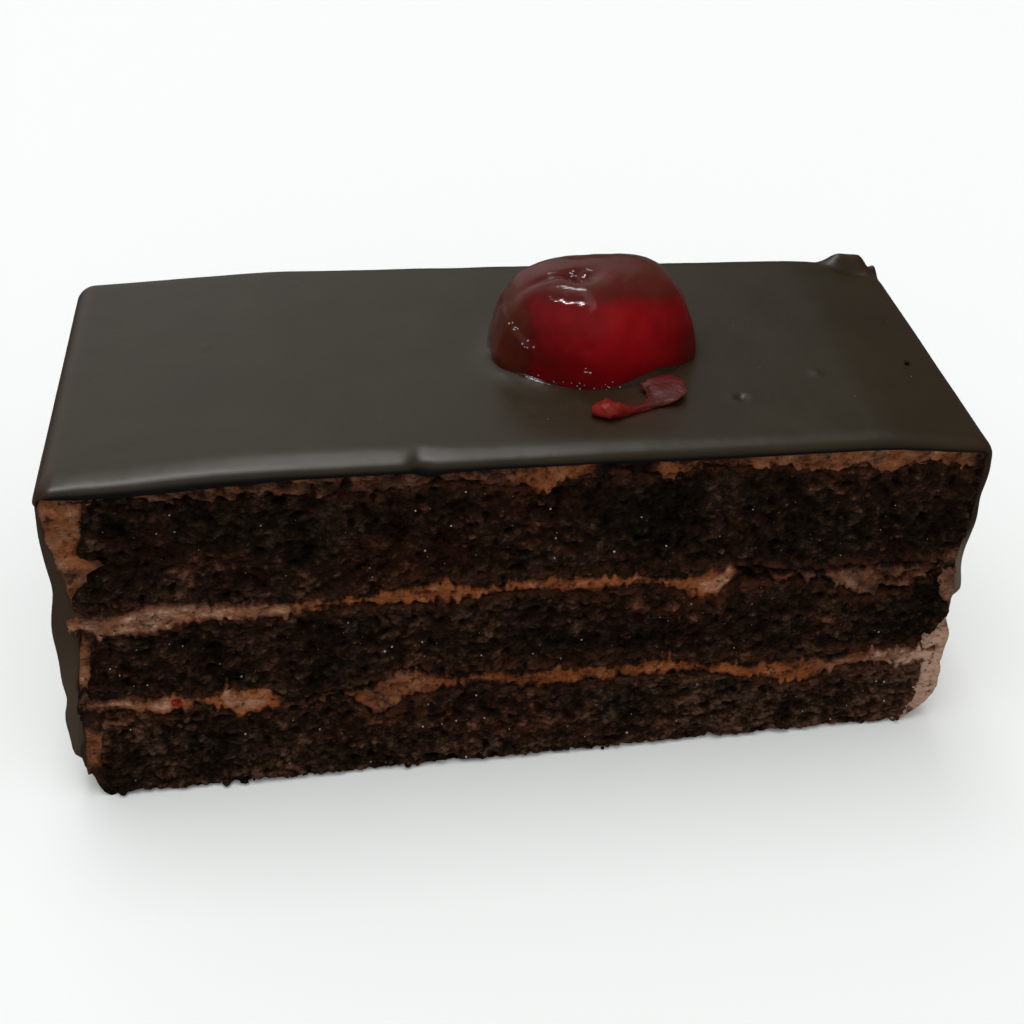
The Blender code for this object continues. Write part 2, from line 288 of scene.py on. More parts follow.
def finish(name, bm, material, nodes=(), settled=True):
    """Turn a bmesh in millimetres into a piece that rides on the slice, inside its box."""
    for vert in bm.verts:
        place = settle(*vert.co) if settled else vert.co
        vert.co = [min(high, max(low, MM * value)) for value, low, high in zip(place, *cad_box)]
    bmesh.ops.recalc_face_normals(bm, faces=bm.faces)
    mesh = bpy.data.meshes.new(name)
    bm.to_mesh(mesh)
    bm.free()
    mesh.shade_smooth()
    mesh.materials.append(material)
    piece = bpy.data.objects.new(name, mesh)
    bpy.context.collection.objects.link(piece)
    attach(piece, "root")
    if nodes:
        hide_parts(*nodes)


# -------- materials


class Nodes:
    """A node tree, with short calls that the finishes and the sky share."""

    def __init__(self, tree):
        self.tree = tree

    def link(self, source, target):
        self.tree.links.new(source, target)

    def feed(self, socket, value):
        """Give a socket a number, a colour or what another node gives."""
        if isinstance(value, tuple):
            socket.default_value = (*value, 1.0)
        elif isinstance(value, (int, float)):
            socket.default_value = value
        else:
            self.link(value, socket)

    def math(self, operation, *values):
        node = self.tree.nodes.new("ShaderNodeMath")
        node.operation = operation
        for socket, value in zip(node.inputs, values):
            self.feed(socket, value)
        return node.outputs[0]


class Finish(Nodes):
    """A material's node tree, with short calls for its patterns, colours and relief."""

    def __init__(self, name):
        self.material = bpy.data.materials.new(name)
        self.material.use_nodes = True
        super().__init__(self.material.node_tree)
        self.shader = self.tree.nodes["Principled BSDF"]
        self.place = self.tree.nodes.new("ShaderNodeTexCoord").outputs["Object"]

    def set(self, **values):
        for name, value in values.items():
            self.shader.inputs[name.replace("_", " ")].default_value = value

    def noise(self, size_mm, detail=3.0, roughness=0.6, stretch=(1.0, 1.0, 1.0), offset=0.0):
        mapping = self.tree.nodes.new("ShaderNodeMapping")
        mapping.inputs["Scale"].default_value = [1.0 / (size_mm * MM * s) for s in stretch]
        mapping.inputs["Location"].default_value = (offset, offset, offset)
        self.link(self.place, mapping.inputs["Vector"])
        texture = self.tree.nodes.new("ShaderNodeTexNoise")
        texture.inputs["Scale"].default_value = 1.0
        texture.inputs["Detail"].default_value = detail
        texture.inputs["Roughness"].default_value = roughness
        self.link(mapping.outputs["Vector"], texture.inputs["Vector"])
        return texture.outputs["Fac"]

    def attribute(self, name):
        node = self.tree.nodes.new("ShaderNodeAttribute")
        node.attribute_name = name
        return node.outputs["Fac"]

    def varied(self, base, pattern, strength):
        """Base value moved up and down by a pattern that lies around a half."""
        return self.math("MULTIPLY_ADD", self.math("SUBTRACT", pattern, 0.5), strength, base)

    def held(self, value, most):
        """Value kept from 0 to the most it may be."""
        return self.math("MINIMUM", self.math("MAXIMUM", value, 0.0), most)

    def ramp(self, factor, *stops):
        node = self.tree.nodes.new("ShaderNodeValToRGB")
        elements = node.color_ramp.elements
        while len(elements) < len(stops):
            elements.new(0.5)
        for element, (position, colour) in zip(elements, stops):
            element.position = position
            element.color = (*colour, 1.0)
        self.link(factor, node.inputs["Fac"])
        return node.outputs["Color"]

    def blend(self, factor, first, second, mode="MIX"):
        node = self.tree.nodes.new("ShaderNodeMix")
        node.data_type = "RGBA"
        node.blend_type = mode
        for index, value in ((0, factor), (6, first), (7, second)):
            self.feed(node.inputs[index], value)
        return node.outputs[2]

    def relief(self, *layers):
        """Bump made of (height, depth in millimetres) layers, one on the other."""
        last = None
        for height, depth_mm in layers:
            node = self.tree.nodes.new("ShaderNodeBump")
            node.inputs["Distance"].default_value = depth_mm * MM
            self.link(height, node.inputs["Height"])
            if last is not None:
                self.link(last, node.inputs["Normal"])
            last = node.outputs["Normal"]
        self.link(last, self.shader.inputs["Normal"])

    def colour(self, source):
        self.link(source, self.shader.inputs["Base Color"])


def sponge_finish():
    """Moist dark sponge, brown, a little red and grey in places; painted shade in pores, painted
    light on lumps.
    """
    n = Finish("moist_sponge")
    n.set(Roughness=0.85, Specular_IOR_Level=0.03)
    flat = (1.3, 1.0, 1.0)
    grain = n.noise(1.2, detail=5.0, roughness=0.66, stretch=flat)
    fine = n.noise(0.38, detail=4.0, roughness=0.7, stretch=flat, offset=2.0)
    # The crumb layer holds the sponge's tone and a painted shade: darker in pores, lighter on
    # lumps
    tone_and_shade = n.varied(n.varied(n.attribute("crumb"), grain, 1.7), fine, 1.0)
    base = n.ramp(tone_and_shade, (0.0, (0.0038, 0.0020, 0.0011)), (0.5, (0.0165, 0.0086, 0.0050)),
                  (0.75, (0.043, 0.0208, 0.0122)), (1.0, (0.108, 0.055, 0.037)))
    patch = n.ramp(n.noise(6.0, detail=5.0, roughness=0.62, stretch=(1.6, 1.0, 1.0), offset=4.0),
                   (0.36, (0.62, 0.72, 0.66)), (0.5, (1.0, 1.0, 0.95)), (0.64, (1.5, 1.08, 0.95)))
    smudge = n.noise(1.3, detail=5.0, roughness=0.7, offset=8.0)
    smeared = n.varied(n.attribute("smeared"), smudge, 3.2)
    smeared = n.held(n.math("SUBTRACT", smeared, 0.5), 0.7)
    n.colour(n.blend(smeared, n.blend(1.0, base, patch, "MULTIPLY"), (0.068, 0.0225, 0.0110)))
    n.relief((n.noise(0.45, detail=4.0, roughness=0.75), 0.55),)
    return n.material


def cream_finish():
    """Whipped chocolate cream: pale where clean, orange-brown in places, dark where stained."""
    n = Finish("smeared_cream")
    n.set(Roughness=0.65, Specular_IOR_Level=0.06)
    blotch = n.noise(1.5, detail=7.0, roughness=0.78, stretch=(1.6, 1.0, 1.0))
    clean = n.math("MULTIPLY", n.varied(n.attribute("clean"), blotch, 2.3), 0.8)
    mauve = n.ramp(clean, (0.0, (0.0075, 0.0042, 0.0026)), (0.24, (0.024, 0.0110, 0.0062)),
                   (0.48, (0.080, 0.0330, 0.0180)), (0.74, (0.165, 0.080, 0.048)),
                   (1.0, (0.40, 0.25, 0.178)))
    orange = n.ramp(clean, (0.0, (0.0085, 0.0042, 0.0024)), (0.24, (0.040, 0.0120, 0.0045)),
                    (0.48, (0.160, 0.042, 0.0100)), (0.74, (0.225, 0.072, 0.024)),
                    (1.0, (0.30, 0.14, 0.08)))
    drift = n.noise(2.0, detail=4.0, offset=6.0)
    warmth = n.held(n.varied(n.attribute("warm"), drift, 2.2), 1.0)
    dots = n.math("SUBTRACT", n.noise(0.8, detail=4.0, offset=9.0), 0.56)
    dots = n.held(n.math("MULTIPLY", dots, 9.0), 0.8)
    n.colour(n.blend(dots, n.blend(warmth, mauve, orange), (0.016, 0.008, 0.005)))
    n.relief((n.noise(0.9, detail=4.0, roughness=0.6, stretch=(1.5, 1.0, 0.8)), 0.45),
             (n.noise(0.25, detail=3.0, offset=3.0), 0.12))
    return n.material


def glaze_finish():
    """Poured satin glaze, a little mottled, reddish where juice lay; painted shade under the lip.
    """
    n = Finish("satin_glaze")
    n.set(Specular_IOR_Level=0.26)
    mottle = n.noise(7.0, detail=4.0, roughness=0.6)
    plain = n.ramp(mottle, (0.35, (0.0185, 0.0118, 0.0034)), (0.65, (0.0215, 0.0140, 0.0045)))
    stained = n.blend(n.attribute("stain"), plain, (0.036, 0.0115, 0.0058))
    # Paler ends: partly thin glaze over the cream, partly painted light
    thin_and_lit = n.blend(n.attribute("thin"), stained, (0.105, 0.078, 0.056))
    # Painted shade: the underside of the lip is darkened to near black, and made rougher
    under = n.attribute("under")
    n.colour(n.blend(under, thin_and_lit, (0.0025, 0.0018, 0.0012)))
    n.link(n.math("MULTIPLY_ADD", under, 0.6, 0.36), n.shader.inputs["Roughness"])
    n.relief((n.noise(4.0, detail=2.0, offset=1.0), 0.05),
             (n.noise(0.7, detail=3.0, offset=5.0), 0.012))
    return n.material


def cherry_finish():
    """Glace cherry: deep red, candied through and wet."""
    n = Finish("glace_cherry")
    n.set(Roughness=0.07, Specular_IOR_Level=0.18, Subsurface_Weight=1.0, Subsurface_Scale=0.0022)
    n.shader.inputs["Subsurface Radius"].default_value = (1.0, 0.1, 0.1)
    cloud = n.noise(4.0, detail=2.0, roughness=0.5)
    ribs = n.noise(1.1, detail=4.0, roughness=0.6, stretch=(1.0, 1.0, 1.8), offset=5.0)
    # The depth layer holds a painted glow of light through the cherry and a painted reflection on
    # its top
    depth = n.varied(n.varied(n.attribute("depth"), cloud, 1.2), ribs, 0.7)
    depth = n.math("MULTIPLY_ADD", depth, 0.5, 0.5)
    n.colour(n.ramp(depth, (0.0, (0.072, 0.016, 0.008)), (0.35, (0.080, 0.006, 0.005)),
                    (0.55, (0.14, 0.0025, 0.0035)), (0.95, (0.25, 0.0035, 0.0060))))
    n.relief((n.noise(1.5, detail=2.0), 0.03), (n.noise(0.5, detail=3.0, offset=4.0), 0.015))
    return n.material


def shred_finish():
    """Cherry flesh: bright red-orange where plump, brownish and clearer where thin."""
    n = Finish("cherry_flesh")
    n.set(Roughness=0.35, Specular_IOR_Level=0.08, Subsurface_Weight=0.6, Subsurface_Scale=0.0008)
    n.shader.inputs["Subsurface Radius"].default_value = (1.0, 0.2, 0.15)
    flesh = n.varied(n.attribute("leaf"), n.noise(0.9, detail=3.0), 0.5)
    n.colour(n.ramp(flesh, (0.1, (0.165, 0.011, 0.007)), (0.35, (0.10, 0.007, 0.006)),
                    (0.6, (0.065, 0.016, 0.011)), (1.0, (0.085, 0.008, 0.008))))
    n.relief((n.noise(0.5, detail=3.0), 0.06),)
    return n.material


def plain_finish(name, colour, roughness, specular):
    """One colour, a little mottled."""
    n = Finish(name)
    n.set(Roughness=roughness, Specular_IOR_Level=specular)
    shade = tuple(0.65 * value for value in colour)
    n.colour(n.ramp(n.noise(0.3, detail=2.0), (0.35, shade), (0.65, colour)))
    return n.material


SPONGE = sponge_finish()
CREAM = cream_finish()
GLAZE = glaze_finish()
CHERRY = cherry_finish()
FLESH = shred_finish()


# -------- the sponges


def crumb_relief(x, z, seed):
    """How far the torn sponge stands out at a place on a cut face, in millimetres."""
    place = Vector((x, seed, z))
    drift = 0.4 * noise.noise_vector(place / 1.7)
    grain = Vector((0.8 * x + drift.x, seed, z + drift.z))
    swell = 0.30 * noise.noise(place / 6.0) + 0.22 * noise.noise(grain / 2.0)
    lumps = 0.52 * (0.5 - noise.voronoi(grain / 0.85)[0][0])
    lumps += 0.40 * (0.5 - noise.voronoi(grain / 0.45)[0][0])
    lumps += 0.12 * noise.noise(grain / 0.3)
    hole = noise.noise(grain / 0.9 + Vector((7.3, 3.1, 11.7)))
    return swell + lumps - 1.2 * max(0.0, hole - 0.25)


# How each cut face of a sponge differs from its seed, and how far its smears reach
SPONGE_FACE_STEP = 40.0
LOW_SMEAR, HIGH_SMEAR = 2.0, 1.8
SPONGE_HALF_LENGTH = 45.5


def sponge(name, base, top, seed, lightness):
    """One sponge: a slab that runs through, torn open at both cut faces."""

    def place(u, w, v):
        share = 0.5 + w / 2.0
        y = v * DEPTH / 2.0
        straight_x = SPONGE_HALF_LENGTH * u
        z = mix(base(straight_x, y), top(straight_x, y), share)
        left, right = along(LEFT_SPONGE_END, z) - OVERLAP, along(RIGHT_SPONGE_END, z) + OVERLAP
        x = mix(left, right, 0.5 + u / 2.0)
        z = mix(base(x, y), top(x, y), share)
        facing = at_cut(v)
        value = 0.5
        smeared = 0.0
        if facing > 0.0:
            low, high = base(x, y), top(x, y)
            relief = crumb_relief(x, z, seed + SPONGE_FACE_STEP * sign(v))
            if low == 0.0:
                relief -= 0.9 * max(0.0, 1.0 - z / 0.7) ** 2
                value += 0.16 * ease((-sign(v) * x - 5.0) / 18.0)
            else:
                smeared = bump(z - low, LOW_SMEAR)
            smeared += bump(high - z, HIGH_SMEAR)
            smeared *= mix(0.55, 0.85, ease((25.0 - sign(v) * x) / 15.0))
            y += sign(v) * facing * relief
            # Painted shade and light: lighter where the torn face stands out, darker in its pores
            # and at its foot
            value += lightness - 0.5 + 0.8 * relief + 0.08 * ease(1.0 - 3.0 * share)
        return x, y, max(0.0, z), value, smeared

    bm = solid_grid(*SPONGE_GRID, place, ("crumb", "smeared"))
    finish(name, bm, SPONGE, (name,))


def shared(points, offset):
    """Edge of a layer, an offset above the line that it shares."""
    return lambda x, y: level(points, x, y) + offset


LOWER_SEED, MIDDLE_SEED, UPPER_SEED = 3.0, 11.0, 23.0

sponge("sponge_lower", lambda x, y: 0.0, shared(LOWER_CREAM_BASE, OVERLAP), LOWER_SEED, 0.56)
sponge("sponge_middle", shared(LOWER_CREAM_TOP, -OVERLAP), shared(UPPER_CREAM_BASE, OVERLAP),
       MIDDLE_SEED, 0.47)
sponge("sponge_upper", shared(UPPER_CREAM_TOP, -OVERLAP), shared(COAT_BASE, OVERLAP),
       UPPER_SEED, 0.45)


# -------- the cream


# Where the fillings end, how each cut face of a cream differs from its seed, and the share
# through past which its edge is ragged
FILLING_ENDS = (-46.4, 46.6)
CREAM_FACE_STEP = 50.0
NEAR_CUT = 0.7


def ragged(x, seed):
    """How far a smeared edge strays at x: soft waves with a few pulled points."""
    wave = 0.60 * wander(x / 2.6, seed, 0.0) + 0.50 * wander(x / 1.0, seed, 5.0)
    wave += 0.45 * wander(x / 0.45, seed, 7.0)
    return wave - 0.15 + 2.4 * max(0.0, wander(x / 1.1, seed, 9.0) - 0.2)


def smear_relief(x, z, seed, clean, inside, broken):
    """How far smeared cream stands out on a cut face: smooth where clean, crumbly where not."""
    smooth = 0.25 * wander(x / 2.4, seed, z / 1.4) + 0.14 * wander(x / 0.8, seed, z / 0.5)
    height = mix(smooth, 0.9 * crumb_relief(x, z, seed), ease(1.3 - 1.5 * clean))
    pits = max(0.0, wander(x / 0.9 + 3.0, seed, z / 0.55 + 1.0) - 0.3)
    buried = wander(x / 1.1, seed + 3.0, z / 0.75) + 0.5 * ease(1.0 - inside / 0.7) + broken
    return height - 1.3 * pits - 2.0 * max(0.0, buried - 0.65)


def filling(name, base_points, top_points, seed, clean_at, warm_at, broken_at):
    """A cream filling that runs through, with edges smeared over the sponge at both cuts."""

    def place(u, w, v):
        y = v * DEPTH / 2.0
        x = mix(*FILLING_ENDS, 0.5 + u / 2.0)
        face = seed + CREAM_FACE_STEP * sign(v)
        low = level(base_points, x, y)
        high = level(top_points, x, y)
        if abs(v) > NEAR_CUT:
            low -= ragged(x, face)
            high += ragged(x, face + 20.0)
        z = mix(low - FILLING_MARGIN, high + FILLING_MARGIN, 0.5 + w / 2.0)
        past = max(0.0, low - z, z - high)
        facing = at_cut(v)
        clean = along(clean_at, x) + 0.3 * wander(x / 2.6, face, z)
        inside = min(z - low, high - z)
        clean -= 0.65 * ease(1.0 - inside / 1.0)
        if facing > 0.0:
            broken = along(broken_at, -sign(v) * x)
            relief = 0.1 + smear_relief(x, z, face, clean, inside, broken) - EDGE_SINK * past
            y += sign(v) * facing * relief
        return x, y, z, clean, along(warm_at, x)

    bm = solid_grid(*FILLING_GRID, place, ("clean", "warm"))
    finish(name, bm, CREAM, (name,))


filling("cream_lower", LOWER_CREAM_BASE, LOWER_CREAM_TOP, 61.0, LOWER_CLEAN, LOWER_WARM,
        LOWER_BROKEN)
filling("cream_upper", UPPER_CREAM_BASE, UPPER_CREAM_TOP, 83.0, UPPER_CLEAN, UPPER_WARM,
        UPPER_BROKEN)


def glaze_wall(s, z):
    """Thickness of the glaze on the end that s is on, at a height."""
    return along(GLAZE_LEFT, z) if s < 0.0 else GLAZE_RIGHT


# How far each end draws in at the foot of the slice, and up to what height
LEFT_TUCK = (3.2, 6.0)
RIGHT_TUCK = (4.2, 5.0)


def tuck(s, z):
    """How far the end that s is on draws in at a height."""
    most, height = LEFT_TUCK if s < 0.0 else RIGHT_TUCK
    return most * max(0.0, 1.0 - z / height) ** 2


# The coat's seed, how far from the middle its inside turns down, how far it bulges where it
# is bare, and how ragged its edge is
COAT_SEED = 95.0
COAT_INNER = 46.0
BARE_COAT_BULGE = 0.75
END_RAGGED, TOP_RAGGED = 1.15, 0.8


def coat_skin(s, foot=0.0):
    """Outer skin of the cream coat round the hoop."""
    x, z = hoop(s, LENGTH / 2.0, HEIGHT - GLAZE_TOP, COAT_CORNER, foot)
    inward = ease((abs(s) - 0.5 * (TOP_SHARE + TURN_SHARE)) * 18.0)
    inset = mix(0.6 * min(1.0, abs(s) / TOP_SHARE), glaze_wall(s, z), inward)
    return x - sign(s) * (inset + tuck(s, z)), z


def cream_coat():
    """Cream over the top and both ends, smeared over the sponges at both cuts."""

    def place(u, w, v):
        y = v * DEPTH / 2.0
        side = sign(u)
        outer_x, outer_z = coat_skin(u)
        if u > 0.0:
            outer_x += BARE_COAT_BULGE * ease((GLAZE_FOOT_RIGHT - 1.5 - outer_z) / 3.0)
            outer_x += 0.25 * wander(y / 5.0, outer_z / 4.0, 3.0)
        ends = LEFT_SPONGE_END if u < 0.0 else RIGHT_SPONGE_END
        inner_x, inner_z = hoop(u, COAT_INNER, level(COAT_BASE, side * 45.0, y), 0.4, 0.0)
        if abs(u) < TOP_SHARE:
            inner_z = level(COAT_BASE, inner_x, y)
        else:
            inner_x += along(ends, inner_z) - side * COAT_INNER
        face = COAT_SEED + CREAM_FACE_STEP * sign(v)
        inner = Vector((inner_x, inner_z))
        outer = Vector((outer_x, outer_z))
        inward = (inner - outer).normalized()
        rough = mix(END_RAGGED, TOP_RAGGED, ease((TOP_SHARE - abs(u)) / 0.05))
        stray = rough * ragged(outer_x + 0.8 * outer_z, face) if abs(v) > NEAR_CUT else 0.0
        edge = inner + inward * stray
        point = (edge + inward * COAT_MARGIN).lerp(outer, 0.5 + w / 2.0)
        past = max(0.0, (point - edge).dot(inward))
        facing = at_cut(v)
        clean = 0.85
        warm = 0.1
        if facing > 0.0:
            seen = -sign(v) * point.x
            broken = 0.0
            if abs(u) < TOP_SHARE:
                clean, warm = along(COAT_CLEAN, seen), along(COAT_WARM, seen)
                broken = along(COAT_BROKEN, seen)
            elif seen < 0.0:
                clean, warm = along(LEFT_END_CLEAN, point.y), along(LEFT_END_WARM, point.y)
            else:
                clean, warm = along(RIGHT_END_CLEAN, point.y), RIGHT_END_WARM
            clean += 0.25 * wander(point.x / 1.8, face, point.y / 1.5)
            inside = (edge - point).dot(inward)
            relief = smear_relief(point.x, point.y, face, clean, inside, broken)
            relief -= EDGE_SINK * past
            y += sign(v) * facing * relief
        return point.x, y, point.y, clean, warm

    bm = solid_grid(*COAT_GRID, place, ("clean", "warm"))
    finish("cream_coat", bm, CREAM, ("cream_coat",))


cream_coat()


# -------- the glaze


def glaze_foot(s, y):
    """Height of the ragged lower edge of the glaze on an end."""
    foot = GLAZE_FOOT_LEFT if s < 0.0 else GLAZE_FOOT_RIGHT
    return foot + 2.0 * wander(y / 5.0, 3.0 * sign(s), 0.0) + 0.7 * wander(y / 1.4, s, 4.0)


# The middle of the cherry on the glaze, and its half sizes there
CHERRY_X, CHERRY_Y = 9.0, -0.8
CHERRY_HALF = (11.1, 9.3)


def cherry_gap(x, y):
    """Distance outside the cherry's contact line on the glaze, roughly in millimetres."""
    across, deep = (x - CHERRY_X) / CHERRY_HALF[0], (y - CHERRY_Y) / CHERRY_HALF[1]
    return (math.hypot(across, deep) - 1.0) * 9.0


# Small marks in the glaze: where each one is, how long from front to back for its width,
# how far it reaches and how far it stands up
GLAZE_MARKS = (((23.1, -12.4), 1.0, 0.55, -0.5), ((23.1, -12.4), 1.0, 1.1, 0.16),
               ((6.3, -11.2), 1.3, 1.2, 0.15), ((32.3, -7.9), 1.0, 0.5, 0.22),
               ((-32.3, 3.2), 2.0, 0.35, 0.20))

# The flick pulled up at the back right corner: where it starts, and its height and its tip's
FLICK_START = (38.0, 15.0)
FLICK_RISE = 2.0
FLICK_TIP_RISE = 0.9
FLICK_HOLLOW = 0.6


def pour(x, y):
    """How much higher the glaze's top stands at a place, in millimetres."""
    rise = 0.10 * wander(x / 16.0, y / 11.0, 2.0) + 0.035 * wander(x / 5.0, y / 4.0, 7.0)
    rise -= 0.28 * math.exp(-(48.0 - abs(x)) / 2.2)
    gap = cherry_gap(x, y)
    if gap < 4.0:
        leaning = ease(0.5 - 0.12 * (x - CHERRY_X + 7.0)) * ease(0.5 - 0.2 * (y - CHERRY_Y))
        rise += mix(0.25, 0.8, leaning) * math.exp(-max(0.0, gap) / 0.8)
    for (mark_x, mark_y), length, spread, height in GLAZE_MARKS:
        rise += height * bump(math.hypot(x - mark_x, (y - mark_y) / length), spread)
    if x > FLICK_START[0] and y > FLICK_START[1]:
        ridge = ease((x - 40.0) / 2.9) * ease((46.9 - x) / 1.9) * ease((y - 18.6) / 1.8)
        rise += FLICK_RISE * ridge
        rise += FLICK_TIP_RISE * bump(x - 47.4, 0.5) * ease((y - 18.9) / 1.6)
        rise -= FLICK_HOLLOW * bump(math.hypot((x - 44.5) / 2.2, y - 18.0), 0.9)
    return rise


def stain(x, y):
    """How reddish the juice has left the glaze at a place, from 0 to 1."""
    around_shred = bump(math.hypot((x - 11.0) / 1.6, y + 14.2), 2.6)
    patchy = 0.75 + 0.6 * wander(x / 1.2, y / 1.2, 8.0)
    flick = bump(math.hypot((x - 44.3) / 2.0, y - 20.6), 1.2)
    return max(0.0, min(1.0, around_shred * patchy + 0.25 * bump(cherry_gap(x, y), 1.2) + flick))


def glaze():
    """Poured glaze: a thin arch over the coat, rolled over in a lip along both cut faces."""
    flat_share = 0.72
    inner_reach = DEPTH / 2.0 - LIP_TUCK

    def place(u, v, w):
        edge = abs(v)
        top_x = sign(u) * min(47.0, 46.0 * abs(u) / TOP_SHARE)
        sunk = 0.0
        on_top = ease((TURN_SHARE - abs(u)) / 0.09)
        foot = glaze_foot(u, v * DEPTH / 2.0)
        coat_x, coat_z = coat_skin(u, foot)
        nose = DEPTH / 2.0 + mix(END_OVERHANG, LIP_OVERHANG, on_top)
        nose += 0.12 * wander(top_x / 7.0, v, 3.0)
        nose -= LIP_NOTCH_DEPTH * bump(sign(v) * top_x - LIP_NOTCH, 0.9)
        nose -= 0.6 * (1.0 - ease((coat_z - foot) / 2.5))
        roll = mix(LIP_ROLL_LEFT, LIP_ROLL_RIGHT, ease(0.6 - sign(v) * top_x / 60.0))
        roll = mix(END_LIP_ROLL, roll, on_top)
        if w < 0.0:
            y = inner_reach * min(1.0, edge / flat_share)
        elif edge < flat_share:
            y = (nose - roll) * edge / flat_share
        else:
            end_hang = 1.15 * glaze_wall(u, coat_skin(u)[1])
            hang = mix(end_hang, along(LIP_HANG, -sign(v) * top_x), on_top)
            hang += 0.06 * wander(top_x / 1.2, v, 6.0)
            turn = math.pi * (0.5 - (edge - flat_share) / (1.0 - flat_share))
            if turn > 0.0:
                y = nose - roll * (1.0 - math.cos(turn))
                sunk = 0.6 * hang * (1.0 - math.sin(turn))
            else:
                y = nose - (nose - inner_reach) * (1.0 - math.cos(turn))
                sunk = hang * (0.6 - 0.4 * math.sin(turn))
        skin_x, skin_z = hoop(u, LENGTH / 2.0, HEIGHT, GLAZE_CORNER, foot)
        y *= sign(v)
        if w < 0.0:
            return coat_x, y, coat_z, 0.0, 0.0, 0.0
        wall = math.hypot(skin_x - coat_x, skin_z - coat_z)
        share = sunk / wall
        x = mix(skin_x, coat_x, share)
        z = mix(skin_z, coat_z, share)
        if abs(u) < TURN_SHARE:
            z += pour(x, y) * (1.0 - min(1.0, share))
        else:
            x -= sign(u) * tuck(u, z)
            x += sign(u) * 0.25 * (wander(y / 6.0, z / 4.0, u) - 0.1)
            x = mix(coat_x, x, 0.1 + 0.9 * ease((z - foot) / 2.5))
            if u > 0.0:
                x -= 0.5 * bump(z - 24.5, 3.0)
            else:
                x += 0.7 * bump(z - 27.5, 2.8) + 0.35 * bump(z - 13.2, 1.4)
        juice = stain(x, y) if abs(u) < TOP_SHARE else 0.3
        # Painted shade on the underside of the lip that rolls over each cut face
        under = on_top * ease((share - 0.65) / 0.3) if edge > flat_share else 0.0
        # Paler ends: partly thin glaze over the cream, partly painted light
        thin = 0.12 + 0.2 * ease((24.0 - z) / 10.0) if u < 0.0 else ease((30.0 - z) / 7.0)
        return x, y, z, juice, under, thin * (1.0 - on_top)

    bm = solid_grid(*GLAZE_GRID, place, ("stain", "under", "thin"))
    finish("glaze", bm, GLAZE, ("glaze",))


glaze()


# -------- the cherry

# Soft facets round the cherry: the way each one faces in plan, and how far from the middle
CHERRY_FACETS = (
    ((-0.21, -0.98), 9.8), ((-0.55, -0.84), 9.7), ((-1.0, -0.05), 11.2), ((-0.6, 0.8), 9.1),
    ((0.0, 1.0), 7.7), ((0.6, 0.8), 10.4), ((1.0, 0.05), 11.2), ((0.52, -0.85), 8.7),
    ((0.2, -0.98), 9.3),
)
FACET_SHARPNESS = 16.0
CHERRY_MIDDLE = 41.8
CHERRY_UP = 8.1
CHERRY_DOWN = 2.8
CHERRY_FOOT_POWER = 12.0
CHERRY_SIDE_POWER = 3.8
CHERRY_FRONT_POWER = 2.9
CHERRY_BACK_POWER = 2.55
CHERRY_TAPER = 0.20
CHERRY_WAIST = -0.3
DIMPLE_AT = (-1.9, -1.9)
DIMPLE_DEPTH = 0.9
CREASE_DEPTH = 0.3

# Keeps the way a pole faces in plan from having no length
POLE_NUDGE = 0.0001

# The fold in its left shoulder: a place on it and the way it runs, as (x, z)
FOLD_AT = (-8.4, 2.8)
FOLD_WAY = (0.737, -0.675)
FOLD_RISE = 0.3


def by_fold(x, z):
    """How far a place lies above the fold in the cherry's left shoulder, and along it."""
    across, up = x - FOLD_AT[0], z - FOLD_AT[1]
    return FOLD_WAY[0] * up - FOLD_WAY[1] * across, FOLD_WAY[0] * across + FOLD_WAY[1] * up


def takes_sugar_glint(x, y, z):
    """Whether a painted sugar glint sits at a place on the cherry: by the fold, in front or in
    the dimple.
    """
    above, beside = by_fold(x, z)
    on_fold = y < 0.0 and abs(above) < 0.40 and 0.35 < abs(beside) < 1.5
    in_front = y < 0.0 and math.hypot((x + 1.7) / 1.6, z - 0.6) < 0.35
    in_dimple = z > 4.0 and math.hypot(x + 2.5, y + 1.0) < 0.35
    return on_fold or in_front or in_dimple


def redness(x, y, z):
    """How clear a red the cherry shows: 1 in a painted glow, -1 where browner under painted
    reflection.
    """
    # A painted glow where light passes through; a top partly browner in itself, partly a painted
    # reflection; darker at its sides
    lit = bump(math.hypot((x - 2.8) / 5.6, (z - 2.8) / 3.9), 1.0)
    brown_and_sheen = ease((z - mix(5.9, 4.6, ease(x / 8.0))) / 2.4)
    brown_and_sheen *= 1.0 - 0.7 * bump(math.hypot(x - 0.8, y + 2.2), 1.6)
    left, right = ease((-6.8 - x) / 2.0), ease((x - 7.0) / 3.0)
    return lit - 0.95 * brown_and_sheen - 0.85 * left - 0.3 * right


